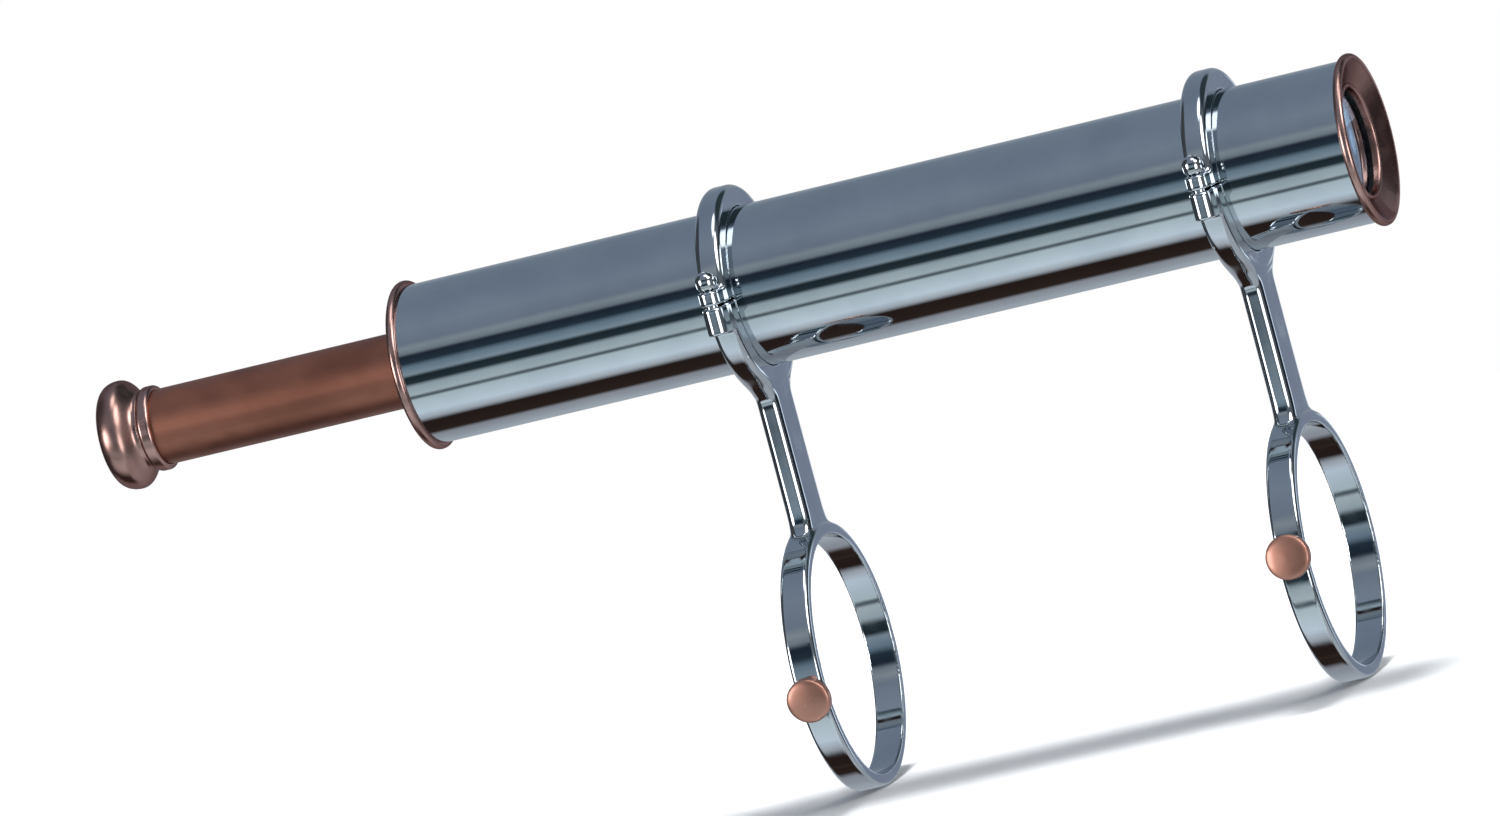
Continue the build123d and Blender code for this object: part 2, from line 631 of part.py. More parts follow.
# ---- field stop with a thin diaphragm, and the cross-hair ring on its face -----------------
STOP_REAR_X = FIELD_LENS_X + FIELD_LENS_EDGE
FIELD_STOP_LENGTH = 6.4
FIELD_STOP_R = 5.5
DIAPHRAGM = 1.0
with BuildPart() as field_stop:
    with BuildSketch(TURNED):
        with BuildLine():
            Polyline(
                (STOP_REAR_X, PLUG_R),
                (STOP_REAR_X + FIELD_STOP_LENGTH, PLUG_R),
                (STOP_REAR_X + FIELD_STOP_LENGTH, FIELD_STOP_R),
                (STOP_REAR_X + FIELD_STOP_LENGTH - DIAPHRAGM, FIELD_STOP_R),
                (STOP_REAR_X + FIELD_STOP_LENGTH - DIAPHRAGM, PLUG_R - SPACER_WALL),
                (STOP_REAR_X, PLUG_R - SPACER_WALL),
                close=True,
            )
        make_face()
    revolve(axis=FINDER_AXIS)
save(field_stop.part, "field_stop")

CROSSHAIR_X = STOP_REAR_X + FIELD_STOP_LENGTH
HAIR = 0.2
HAIR_LENGTH = 2 * FIELD_STOP_R + 3
RIM_LENGTH = 0.9
with BuildPart() as crosshair_ring:
    with BuildSketch(finder_section(CROSSHAIR_X)):
        Circle(PLUG_R)
        Circle(FIELD_STOP_R + 0.6, mode=Mode.SUBTRACT)
    extrude(amount=RIM_LENGTH)
    with BuildSketch(finder_section(CROSSHAIR_X)):
        Rectangle(HAIR_LENGTH, HAIR)
        Rectangle(HAIR, HAIR_LENGTH)
    extrude(amount=HAIR)
save(crosshair_ring.part, "crosshair_ring")
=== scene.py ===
import json
from functools import partial
from itertools import product
from math import copysign, cos, pi, radians, sin, sqrt, tan

import bmesh
import bpy
import numpy as np
from mathutils import Matrix, Vector


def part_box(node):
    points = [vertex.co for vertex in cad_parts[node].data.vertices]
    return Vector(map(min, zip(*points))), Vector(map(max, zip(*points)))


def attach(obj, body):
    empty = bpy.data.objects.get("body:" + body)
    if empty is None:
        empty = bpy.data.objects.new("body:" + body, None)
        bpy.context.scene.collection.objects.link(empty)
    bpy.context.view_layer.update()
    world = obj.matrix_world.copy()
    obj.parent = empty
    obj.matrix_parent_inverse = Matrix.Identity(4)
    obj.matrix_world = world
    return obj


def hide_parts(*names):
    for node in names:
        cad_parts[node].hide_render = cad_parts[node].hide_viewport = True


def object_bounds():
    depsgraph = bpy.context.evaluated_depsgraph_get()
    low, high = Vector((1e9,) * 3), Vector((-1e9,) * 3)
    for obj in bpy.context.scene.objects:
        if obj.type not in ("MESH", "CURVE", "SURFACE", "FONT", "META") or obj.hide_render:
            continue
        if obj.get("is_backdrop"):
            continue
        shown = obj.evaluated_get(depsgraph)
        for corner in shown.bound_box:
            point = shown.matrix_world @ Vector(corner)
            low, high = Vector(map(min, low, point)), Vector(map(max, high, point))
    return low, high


# The finder scope's looks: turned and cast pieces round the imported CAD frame, their metals and
# glass, and a plain studio. Shapes are worked out in millimetres and become metres in make_piece.

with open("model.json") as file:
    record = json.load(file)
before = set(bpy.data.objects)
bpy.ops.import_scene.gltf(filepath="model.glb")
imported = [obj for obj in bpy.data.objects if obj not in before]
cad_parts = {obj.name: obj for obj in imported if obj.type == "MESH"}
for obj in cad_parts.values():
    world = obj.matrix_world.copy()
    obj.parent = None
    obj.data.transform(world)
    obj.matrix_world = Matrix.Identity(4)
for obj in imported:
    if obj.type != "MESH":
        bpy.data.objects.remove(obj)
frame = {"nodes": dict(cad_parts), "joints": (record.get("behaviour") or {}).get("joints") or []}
nodes = frame["nodes"]
cad_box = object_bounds()

MM = 0.001


def low(node):
    """Lowest corner of a CAD node, in millimetres."""
    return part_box(node)[0] / MM


def high(node):
    """Highest corner of a CAD node, in millimetres."""
    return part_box(node)[1] / MM


# ---- sizes taken from the frame ------------------------------------------------------------
AXIS_Z = (low("body_tube").z + high("body_tube").z) / 2
TUBE_R = high("body_tube").z - AXIS_Z
TUBE_REAR = low("body_tube").x
TUBE_FRONT = high("body_tube").x
BAND_R = -low("rear_bracket").z
BOSS_R = high("rear_bracket").x
RING_R = high("rear_ring_cap").z - AXIS_Z
RING_WIDTH = high("rear_ring_cap").x - low("rear_ring_cap").x
EAR_TIP = high("rear_ring_cap").y
CAP_FLOOR = low("rear_ring_cap").z
EAR_TOP = high("rear_bracket").z
HEAD_TOP = high("rear_ring_screws").z
SCREW_END = low("rear_ring_screws").z
HEAD_R = high("rear_ring_screws").x
ENDS = {"rear": 0.0, "front": low("front_ring_cap").x - low("rear_ring_cap").x}
DRAW_R = high("draw_tube").z - AXIS_Z
BEZEL_FACE = high("objective_bezel").x
LIP_R = high("objective_bezel").z - AXIS_Z
CAP_FACE = TUBE_REAR - (BEZEL_FACE - TUBE_FRONT)
FLANGE = low("draw_ferrule").x
BAND_SCREW_HEAD_R = high("rear_band_screw").x

# ---- sizes that the frame's boxes don't show, as in part.py --------------------------------
RUN = 0.05                    # radial clearance of parts that slide or turn
SEAT = 0.02                   # radial clearance of parts that are soldered or screwed together
TUBE_WALL = 1.2
INNER_R = TUBE_R - TUBE_WALL - SEAT
RING_BORE_R = TUBE_R + RUN
RING_ROUND = 1.8              # rounding of the rings' outer corners
BAND_WALL = 3.0
BAND_WIDTH = 7.0
BAND_ROUND = 1.1              # rounding of the bands' outer corners
BAND_BORE_R = BAND_R - BAND_WALL
STEM_THICKNESS = 5.4
STEM_ROUND = 2.2              # rounding of the stem's edges
STEM_TOP = (6.2, 62.1)        # half width and height where the stem meets the upper flare
STEM_FOOT = (7.2, 36.5)       # half width and height where the stem meets the lower flare
EAR_R = 2.5
EAR_SCREW_Y = EAR_TIP - EAR_R
CAP_EAR_HEIGHT = 3.4
BASE_EAR_HEIGHT = 6.4
SCREW_R = 1.45
SCREW_DOME = 2.1
SLOT_WIDTH = 0.8
SLOT_DEPTH = 1.3
SLOT_TURN = 25                # degrees that the slots stand off the tube's axis
SCREW_PASS = 0.15             # radial clearance of a screw in the cap's ear
TAP_SPARE = 0.5               # how far a tapped hole runs on past its screw
BOSS_FACE = 32.3              # from the large tube's axis to the boss's flat face
BAND_SCREW_R = 2.0
BAND_SCREW_TIP = 28.9         # from the large tube's axis, as are the two below
BAND_SCREW_SEAT = 32.4
BAND_SCREW_TOP = 35.7
BAND_SCREW_CROWN = 0.7

# ---- finish of the castings: small rounds on edges, fillets where parts meet, flares -------
BORE_ROUND = 0.3
EAR_ROUND = 0.45
BOSS_ROUND = 0.4
SPLIT_ROUND = 0.5
HOLE_ROUND = 0.2
CAST_FILLET = 0.9
BOSS_FILLET = 0.6
EAR_ROOT = 2.0                # how far the ears' inner ends stand off the body tube
EAR_ROOT_ROUND = 0.3
STEM_TAPER = (STEM_FOOT[0] - STEM_TOP[0]) / (STEM_TOP[1] - STEM_FOOT[1])
FLARE_SLOPE = 1.05            # how fast the upper flare widens upwards
FLARE_TOP = AXIS_Z - RING_R + 7.1
FLARE_FILLET = 2.4
FLARE_END_ROUND = 0.5
FOOT_FLARE_R = 9.84           # radius of the lower flare's hollow side
FOOT_FLARE_REACH = 0.97 * FOOT_FLARE_R
FOOT_FLARE_END = BAND_R - 5.1
FOOT_FILLET = 0.6
WEB_RING_DEPTH = 1.5          # from the ring's bore to the web's end in its wall
WEB_END_ROUND = 0.4


# ---- mesh making ---------------------------------------------------------------------------
def make_piece(name, points, faces, material, x=0.0):
    """A smooth-shaded object from points in millimetres, with its faces turned outwards."""
    mesh = bpy.data.meshes.new(name)
    mesh.from_pydata((np.asarray(points) * MM).tolist(), [], faces)
    bm = bmesh.new()
    bm.from_mesh(mesh)
    bmesh.ops.recalc_face_normals(bm, faces=bm.faces)
    bm.to_mesh(mesh)
    bm.free()
    mesh.shade_smooth()
    mesh.materials.append(material)
    piece = bpy.data.objects.new(name, mesh)
    piece.location.x = x * MM
    bpy.context.scene.collection.objects.link(piece)
    return piece


def fit(piece, body, slot, *replaced):
    """Puts a finished piece on its body and in place of its CAD nodes; the slot is not used."""
    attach(piece, body)
    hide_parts(*replaced)


ARC_STEPS = 6
SUPPORT = 0.04


def rounded(corners):
    """Outline with each (along, radius, round) corner replaced by an arc of that round, and with
    a support point beside each arc that keeps the straight runs' shading flat."""
    outline = []
    for i, (along, radius, size) in enumerate(corners):
        here = Vector((along, radius))
        if not size:
            outline.append(here)
            continue
        back = (Vector(corners[i - 1][:2]) - here).normalized()
        ahead = (Vector(corners[(i + 1) % len(corners)][:2]) - here).normalized()
        half = back.angle(ahead) / 2
        reach = size / tan(half)
        centre = here + (back + ahead).normalized() * (size / sin(half))
        start = here + back * reach - centre
        end = here + ahead * reach - centre
        outline.append(centre + start + back * SUPPORT)
        turn = start.angle_signed(end)
        for step in range(ARC_STEPS + 1):
            outline.append(centre + Matrix.Rotation(-turn * step / ARC_STEPS, 2) @ start)
        outline.append(centre + end + ahead * SUPPORT)
    return outline


def curve(start, pull_start, pull_end, end, steps=16):
    """Points of a cubic curve, its ends included, as corners with no round."""
    points = []
    for t in np.linspace(0, 1, steps + 1):
        weights = ((1 - t) ** 3, 3 * t * (1 - t) ** 2, 3 * t * t * (1 - t), t**3)
        point = sum(w * np.array(p) for w, p in zip(weights, (start, pull_start, pull_end, end)))
        points.append((*point, 0))
    return points


def about_finder(along, radius, angle):
    """A point of a piece turned about the finder's axis, measured along +X."""
    return along, radius * cos(angle), AXIS_Z + radius * sin(angle)


def about_band_screw(axis):
    """Places points of a piece turned about a band screw's axis, measured outwards along it."""
    level = Vector((1, 0, 0))
    upright = level.cross(axis)

    def place(along, radius, angle):
        return tuple(along * axis + radius * sin(angle) * upright + radius * cos(angle) * level)

    return place


ON_AXIS = 1e-6


def turned(name, outline, material, place=about_finder, segments=160, closed=True, x=0.0):
    """A lathe-turned piece. A closed outline runs round a tube's wall; an open one starts and
    ends on the axis."""
    points = []
    rings = []
    for along, radius in outline:
        if radius < ON_AXIS:
            rings.append([len(points)] * segments)
            points.append(place(along, 0, 0))
            continue
        rings.append(range(len(points), len(points) + segments))
        points += [place(along, radius, 2 * pi * k / segments) for k in range(segments)]
    pairs = list(zip(rings, rings[1:]))
    if closed:
        pairs.append((rings[-1], rings[0]))
    faces = []
    for first, second in pairs:
        for k in range(segments):
            after = (k + 1) % segments
            loop = dict.fromkeys((first[k], first[after], second[after], second[k]))
            faces.append(tuple(loop))
    return make_piece(name, points, faces, material, x)


# ---- castings: distance fields meshed by surface nets --------------------------------------
def smooth_max(a, b, blend):
    """The larger of two fields, rounding the corner where they meet."""
    near = np.maximum(blend - np.abs(a - b), 0) / blend
    return np.maximum(a, b) + near * near * blend / 4


def smooth_min(a, b, blend):
    """The smaller of two fields, filleting the corner where they meet."""
    return -smooth_max(-a, -b, blend)


def rounded_pair(a, b, size):
    """Intersection of two fields with a true round of that radius on their edge."""
    a, b = a + size, b + size
    outside = np.hypot(np.maximum(a, 0), np.maximum(b, 0))
    return np.minimum(np.maximum(a, b), 0) + outside - size


def ring_wall(radius, x, bore, outer, width, rim_round):
    """A ring's wall: its outer corners have a large round and its bore's corners a small one."""
    middle = (bore + outer) / 2
    size = np.where(radius > middle, rim_round, BORE_ROUND)
    return rounded_pair(
        np.abs(x) - width / 2, np.abs(radius - middle) - (outer - bore) / 2, size
    )


def web(x, y, z):
    """The stem with its flares: narrow and tapering, wide where it meets the ring and band."""
    y = np.abs(y)
    stem = y - STEM_FOOT[0] + STEM_TAPER * (z - STEM_FOOT[1])
    flare = (y - STEM_TOP[0] - FLARE_SLOPE * (z - STEM_TOP[1])) / sqrt(1 + FLARE_SLOPE**2)
    flare = smooth_max(flare, z - FLARE_TOP, FLARE_END_ROUND)
    drop = np.clip(STEM_FOOT[1] - z, 0, FOOT_FLARE_REACH)
    rise = np.sqrt(FOOT_FLARE_R**2 - drop**2)
    foot = (y - STEM_FOOT[0] - FOOT_FLARE_R + rise) * rise / FOOT_FLARE_R
    foot = smooth_max(foot, FOOT_FLARE_END - z, FLARE_END_ROUND)
    side = smooth_min(smooth_min(stem, flare, FLARE_FILLET), foot, FOOT_FILLET)
    side = smooth_max(side, BAND_BORE_R + BAND_WALL / 2 - np.hypot(y, z), WEB_END_ROUND)
    side = smooth_max(side, RING_BORE_R + WEB_RING_DEPTH - np.hypot(y, z - AXIS_Z), WEB_END_ROUND)
    side = np.maximum(side, -z)
    return rounded_pair(side, np.abs(x) - STEM_THICKNESS / 2, STEM_ROUND)


def ears(x, y, z, floor, height):
    """The two ears, from the ring out to their round ends about the screws."""
    y = np.abs(y)
    across = np.hypot(x, np.maximum(y - EAR_SCREW_Y, 0)) - EAR_R
    middle = floor + height / 2
    block = rounded_pair(across, np.abs(z - middle) - height / 2, EAR_ROUND)
    return smooth_max(block, TUBE_R + EAR_ROOT - y, EAR_ROOT_ROUND)


def bracket_field(x, y, z, screw_axis):
    """Distance field of a bracket casting: lower half ring, ears, stem, band and boss."""
    finder = np.hypot(y, z - AXIS_Z)
    band = np.hypot(y, z)
    field = ring_wall(finder, x, RING_BORE_R, RING_R, RING_WIDTH, RING_ROUND)
    field = smooth_max(field, z - EAR_TOP, SPLIT_ROUND)
    field = smooth_min(field, ears(x, y, z, EAR_TOP - BASE_EAR_HEIGHT, BASE_EAR_HEIGHT), CAST_FILLET)
    field = smooth_min(field, web(x, y, z), CAST_FILLET)
    band_wall = ring_wall(band, x, BAND_BORE_R, BAND_R, BAND_WIDTH, BAND_ROUND)
    field = smooth_min(field, band_wall, CAST_FILLET)
    out = y * screw_axis.y + z * screw_axis.z
    beside = np.hypot(x, y * screw_axis.z - z * screw_axis.y)
    boss = rounded_pair(beside - BOSS_R, out - BOSS_FACE, BOSS_ROUND)
    boss = smooth_max(boss, BAND_BORE_R + BAND_WALL / 2 - out, BOSS_ROUND)
    field = smooth_min(field, boss, BOSS_FILLET)
    field = smooth_max(field, RING_BORE_R - finder, BORE_ROUND)
    field = smooth_max(field, BAND_BORE_R - band, BORE_ROUND)
    ear_hole = SCREW_R + RUN - np.hypot(x, np.abs(y) - EAR_SCREW_Y)
    ear_hole = np.minimum(ear_hole, z - SCREW_END + TAP_SPARE)
    field = smooth_max(field, ear_hole, HOLE_ROUND)
    band_hole = np.minimum(BAND_SCREW_R + RUN - beside, out)
    return smooth_max(field, band_hole, HOLE_ROUND)


def ring_cap_field(x, y, z):
    """Distance field of a ring cap: upper half ring and ears."""
    finder = np.hypot(y, z - AXIS_Z)
    field = ring_wall(finder, x, RING_BORE_R, RING_R, RING_WIDTH, RING_ROUND)
    field = smooth_max(field, CAP_FLOOR - z, SPLIT_ROUND)
    field = smooth_min(field, ears(x, y, z, CAP_FLOOR, CAP_EAR_HEIGHT), CAST_FILLET)
    field = smooth_max(field, RING_BORE_R - finder, BORE_ROUND)
    ear_hole = SCREW_R + SCREW_PASS - np.hypot(x, np.abs(y) - EAR_SCREW_Y)
    return smooth_max(field, ear_hole, HOLE_ROUND)


def ring_screw_field(x, y, z):
    """Distance field of the far ring screw: shank, and a slotted head with a domed top."""
    dome_round, rim_round, slot_round, tip_round, neck_fillet, overlap = 0.5, 0.25, 0.18, 0.2, 0.15, 0.2
    y = y - EAR_SCREW_Y
    radius = np.hypot(x, y)
    head_floor = CAP_FLOOR + CAP_EAR_HEIGHT
    ball = (HEAD_R**2 + SCREW_DOME**2) / (2 * SCREW_DOME)
    top = np.hypot(radius, z - (HEAD_TOP - ball)) - ball
    head = smooth_max(rounded_pair(radius - HEAD_R, head_floor - z, rim_round), top, dome_round)
    turn = radians(SLOT_TURN)
    beside = np.abs(y * cos(turn) - x * sin(turn)) - SLOT_WIDTH / 2
    slot = np.maximum(beside, HEAD_TOP - SLOT_DEPTH - z)
    head = smooth_max(head, -slot, slot_round)
    length = np.abs(z - (head_floor + SCREW_END) / 2) - (head_floor - SCREW_END) / 2 - overlap
    shank = rounded_pair(radius - SCREW_R, length, tip_round)
    return smooth_min(head, shank, neck_fillet)


def gradient(field, points, step):
    """Slope of a field at each point, by central differences."""
    slope = np.empty_like(points)
    for axis in range(3):
        shift = np.zeros(3)
        shift[axis] = step
        ahead = field(*(points + shift).T)
        slope[:, axis] = (ahead - field(*(points - shift).T)) / (2 * step)
    return slope


def settle(field, points, step, rounds):
    """Moves points straight onto the field's surface."""
    least = 0.05
    for _ in range(rounds):
        slope = gradient(field, points, step)
        length = np.maximum((slope**2).sum(1), least)
        points = points - slope * (field(*points.T) / length)[:, None]
    return points


def cast(field, corner, far_corner, pitch):
    """Quad mesh of a field's surface: one point in each cell that it crosses, evened out along
    the surface and settled on it."""
    axes = [np.arange(a - 2 * pitch, b + 3 * pitch, pitch) for a, b in zip(corner, far_corner)]
    inside = field(*np.meshgrid(*axes, indexing="ij")) < 0
    size = np.array(inside.shape) - 1
    count = np.zeros(size, int)
    for i, j, k in product((0, 1), repeat=3):
        count += inside[i:i + size[0], j:j + size[1], k:k + size[2]]
    mixed = (count > 0) & (count < 8)
    index = np.full(size, -1)
    index[mixed] = np.arange(mixed.sum())
    points = np.stack([a[i] + pitch / 2 for a, i in zip(axes, np.nonzero(mixed))], 1)
    quads = []
    for axis in range(3):
        order = (axis, (axis + 1) % 3, (axis + 2) % 3)
        solid = inside.transpose(order)
        cell = index.transpose(order)
        first, second = solid[:-1, 1:-1, 1:-1], solid[1:, 1:-1, 1:-1]
        i, j, k = np.nonzero(first != second)
        quad = np.stack(
            [cell[i, j, k], cell[i, j + 1, k], cell[i, j + 1, k + 1], cell[i, j, k + 1]], 1
        )
        flip = second[i, j, k]
        quad[flip] = quad[flip, ::-1]
        quads.append(quad)
    quads = np.concatenate(quads)
    edges = np.concatenate([quads[:, [k, (k + 1) % 4]] for k in range(4)])
    step, smoothings = pitch / 20, 4
    points = settle(field, points, step, 3)
    for _ in range(smoothings):
        total = np.zeros_like(points)
        shared = np.zeros(len(points))
        for a, b in ((0, 1), (1, 0)):
            np.add.at(total, edges[:, a], points[edges[:, b]])
            np.add.at(shared, edges[:, a], 1)
        points = (points + total / shared[:, None]) / 2
        points = settle(field, points, step, 2)
    return settle(field, points, step, 2), quads.tolist()


# ---- materials -----------------------------------------------------------------------------
def wire(tree, kind, inputs, **settings):
    """Adds a shader node, with its inputs set to values or linked from other nodes' sockets."""
    made = tree.nodes.new(kind)
    for name, value in settings.items():
        setattr(made, name, value)
    for name, value in inputs.items():
        if isinstance(value, bpy.types.NodeSocket):
            tree.links.new(value, made.inputs[name])
        else:
            made.inputs[name].default_value = value
    return made


def new_material(name):
    """A Principled material, with its shader and its object coordinates."""
    material = bpy.data.materials.new(name)
    material.use_nodes = True
    tree = material.node_tree
    place = wire(tree, "ShaderNodeTexCoord", {}).outputs["Object"]
    return material, tree, tree.nodes["Principled BSDF"], place


def spread(tree, value, from_range, to_range):
    """Maps a value smoothly from one range to another."""
    inputs = {"Value": value, "From Min": from_range[0], "From Max": from_range[1]}
    inputs |= {"To Min": to_range[0], "To Max": to_range[1]}
    made = wire(tree, "ShaderNodeMapRange", inputs, interpolation_type="SMOOTHSTEP")
    return made.outputs["Result"]


def noise(tree, place, scale, detail, stretch=(1, 1, 1)):
    """Fractal noise with a scale in cycles a metre, finer along an axis of larger stretch."""
    mapped = wire(tree, "ShaderNodeMapping", {"Vector": place, "Scale": stretch}).outputs["Vector"]
    inputs = {"Vector": mapped, "Scale": scale, "Detail": detail}
    return wire(tree, "ShaderNodeTexNoise", inputs).outputs["Fac"]


def mix_colours(tree, factor, first, second):
    """Blends two colours, each a triple or another node's socket."""
    made = wire(tree, "ShaderNodeMix", {}, data_type="RGBA")
    tree.links.new(factor, made.inputs[0])
    for socket, colour in ((made.inputs[6], first), (made.inputs[7], second)):
        if isinstance(colour, bpy.types.NodeSocket):
            tree.links.new(colour, socket)
        else:
            socket.default_value = (*colour, 1)
    return made.outputs[2]


def bump(tree, height, depth, normal=None):
    """Normals that follow a height, whose full range is the depth in metres."""
    inputs = {"Height": height, "Strength": 1.0, "Distance": depth}
    if normal:
        inputs["Normal"] = normal
    return wire(tree, "ShaderNodeBump", inputs).outputs["Normal"]


def metal(
    name, bright, dull, gloss, worn, grain, grain_depth, wave, wave_depth, lacquer=0.0,
    edge_tint=(1, 1, 1),
):
    """A plated or polished metal: cloudy tone from bright to dull, roughness from gloss to worn in
    smudges, fine grain, a slightly wavy surface, and edges rubbed bright, perhaps under clear
    lacquer. The edge tint darkens what it mirrors at a glancing angle."""
    material, tree, shader, place = new_material(name)
    cloud = noise(tree, place, scale=60, detail=3)
    smudge = noise(tree, place, scale=170, detail=5)
    lines = noise(tree, place, scale=1, detail=5, stretch=grain)
    swell = noise(tree, place, scale=1, detail=2, stretch=wave)
    edge = wire(tree, "ShaderNodeNewGeometry", {}).outputs["Pointiness"]
    rubbed = spread(tree, edge, (0.505, 0.56), (0, 1))
    rubbed_colour = [min(1, c * 1.25) for c in bright]
    tone = spread(tree, cloud, (0.35, 0.7), (0, 1))
    colour = mix_colours(tree, rubbed, mix_colours(tree, tone, bright, dull), rubbed_colour)
    rough = spread(tree, smudge, (0.4, 0.75), (gloss, worn))
    tree.links.new(colour, shader.inputs["Base Color"])
    tree.links.new(rough, shader.inputs["Roughness"])
    shader.inputs["Metallic"].default_value = 1.0
    shader.inputs["Specular Tint"].default_value = (*edge_tint, 1)
    shader.inputs["Coat Weight"].default_value = lacquer
    shader.inputs["Coat Roughness"].default_value = 0.12
    shader.inputs["Coat IOR"].default_value = 1.6
    normal = bump(tree, lines, grain_depth, bump(tree, swell, wave_depth))
    tree.links.new(normal, shader.inputs["Normal"])
    return material


def matt(name, pale, dark, roughness, scale, depth):
    """A dull surface, such as black paint or felt, mottled and finely rough."""
    material, tree, shader, place = new_material(name)
    speck = noise(tree, place, scale, detail=6)
    tone = spread(tree, speck, (0.35, 0.65), (0, 1))
    rough = spread(tree, speck, (0.3, 0.7), (roughness, roughness - 0.15))
    tree.links.new(mix_colours(tree, tone, dark, pale), shader.inputs["Base Color"])
    tree.links.new(rough, shader.inputs["Roughness"])
    tree.links.new(bump(tree, speck, depth), shader.inputs["Normal"])
    return material


def glass(name):
    """Polished optical glass with a bluish coating and a faint haze of dust."""
    material, tree, shader, place = new_material(name)
    dust = noise(tree, place, scale=220, detail=6)
    rough = spread(tree, dust, (0.5, 0.8), (0.0, 0.06))
    colour = mix_colours(tree, dust, (0.86, 0.94, 1.0), (0.93, 0.97, 1.0))
    tree.links.new(rough, shader.inputs["Roughness"])
    tree.links.new(colour, shader.inputs["Base Color"])
    shader.inputs["Transmission Weight"].default_value = 1.0
    shader.inputs["IOR"].default_value = 1.52
    shader.inputs["Coat Weight"].default_value = 1.0
    shader.inputs["Coat IOR"].default_value = 1.9
    shader.inputs["Coat Tint"].default_value = (0.85, 0.93, 1.0, 1)
    return material


TUBE_CHROME = metal(
    "tube_chrome", bright=(0.52, 0.57, 0.60), dull=(0.47, 0.52, 0.56), gloss=0.03, worn=0.09,
    grain=(40, 900, 900), grain_depth=3e-7, wave=(6, 180, 180), wave_depth=5e-6,
)
CAST_CHROME = metal(
    "cast_chrome", bright=(0.53, 0.57, 0.60), dull=(0.47, 0.51, 0.55), gloss=0.04, worn=0.12,
    grain=(700, 700, 700), grain_depth=4e-7, wave=(110, 110, 110), wave_depth=2.5e-5,
)
SCREW_CHROME = metal(
    "screw_chrome", bright=(0.55, 0.58, 0.60), dull=(0.45, 0.48, 0.50), gloss=0.05, worn=0.18,
    grain=(1500, 1500, 1500), grain_depth=1e-6, wave=(300, 300, 300), wave_depth=5e-6,
)
SATIN_COPPER = metal(
    "satin_copper", bright=(0.355, 0.150, 0.103), dull=(0.275, 0.112, 0.076), gloss=0.46, worn=0.56,
    grain=(2600, 60, 60), grain_depth=3e-6, wave=(60, 60, 60), wave_depth=5e-6,
)
POLISHED_COPPER = metal(
    "polished_copper", bright=(0.50, 0.31, 0.275), dull=(0.38, 0.22, 0.19), gloss=0.25, worn=0.36,
    grain=(1800, 90, 90), grain_depth=1e-6, wave=(120, 120, 120), wave_depth=1e-5,
    lacquer=0.12, edge_tint=(0.35, 0.27, 0.27),
)
SCREW_COPPER = metal(
    "screw_copper", bright=(0.62, 0.31, 0.23), dull=(0.50, 0.23, 0.16), gloss=0.42, worn=0.52,
    grain=(900, 900, 900), grain_depth=2e-6, wave=(300, 300, 300), wave_depth=1e-5, lacquer=0.4,
)
BRASS = metal(
    "turned_brass", bright=(0.62, 0.47, 0.22), dull=(0.48, 0.35, 0.15), gloss=0.2, worn=0.35,
    grain=(3000, 60, 60), grain_depth=3e-6, wave=(60, 60, 60), wave_depth=5e-6,
)
INNER_BLACK = matt(
    "inner_black", pale=(0.03, 0.03, 0.032), dark=(0.012, 0.012, 0.013), roughness=0.85,
    scale=1500, depth=2e-5,
)
FELT = matt(
    "felt", pale=(0.05, 0.055, 0.05), dark=(0.02, 0.024, 0.022), roughness=1.0,
    scale=3000, depth=8e-5,
)
GLASS = glass("lens_glass")


# ---- turned pieces -------------------------------------------------------------------------
LIP_SHOULDER_R = LIP_R - 1.0
LIP_PULL = 1.33


def tube_outline(rear, front, bore, outer, size):
    """A plain tube's wall with softened ends."""
    return rounded([(rear, bore, size), (rear, outer, size), (front, outer, size), (front, bore, size)])


def lip(face, back):
    """The bead round an end cap's lip, from its back to its face. The pull brings the curve's top
    to the lip's radius."""
    pull_r = LIP_SHOULDER_R + LIP_PULL * (LIP_R - LIP_SHOULDER_R)
    return curve(
        (back, LIP_SHOULDER_R), (back, pull_r), (face, pull_r), (face, LIP_SHOULDER_R), steps=14
    )


def body_tube():
    outline = tube_outline(TUBE_REAR, TUBE_FRONT, TUBE_R - TUBE_WALL, TUBE_R, size=0.15)
    piece = turned("body_tube_shell", outline, TUBE_CHROME, segments=256)
    fit(piece, "scope", "chrome", "body_tube")


APERTURE_R = 12.5
BEAD_R = 0.65                 # raised ring round the aperture
BEAD_STEPS = 10
DISH_FLOOR = BEZEL_FACE - 2.8
DISH_BACK = DISH_FLOOR - 1.2
DISH_RIM = (BEZEL_FACE - 0.4, LIP_SHOULDER_R - 0.9)
CELL_R = 16.2


def objective_bezel():
    """The bezel: a plug in the tube, a beaded lip, a dished face, and a bead round the aperture."""
    back = low("objective_bezel").x
    corners = [(back, INNER_R, 0.2), (TUBE_FRONT, INNER_R, 0)]
    corners += lip(BEZEL_FACE, TUBE_FRONT)
    corners += [(*DISH_RIM, 0.15), (DISH_FLOOR, APERTURE_R + 2 * BEAD_R, 0.08)]
    for k in range(1, BEAD_STEPS):
        turn = pi * k / BEAD_STEPS
        corners.append((DISH_FLOOR + BEAD_R * sin(turn), APERTURE_R + BEAD_R * (1 + cos(turn)), 0))
    corners += [
        (DISH_FLOOR, APERTURE_R, 0), (DISH_BACK, APERTURE_R, 0.1),
        (DISH_BACK, CELL_R + SEAT, 0.1), (back, CELL_R + SEAT, 0.2),
    ]
    piece = turned("objective_bezel_ring", rounded(corners), POLISHED_COPPER, segments=224)
    fit(piece, "scope", "polished_copper", "objective_bezel")


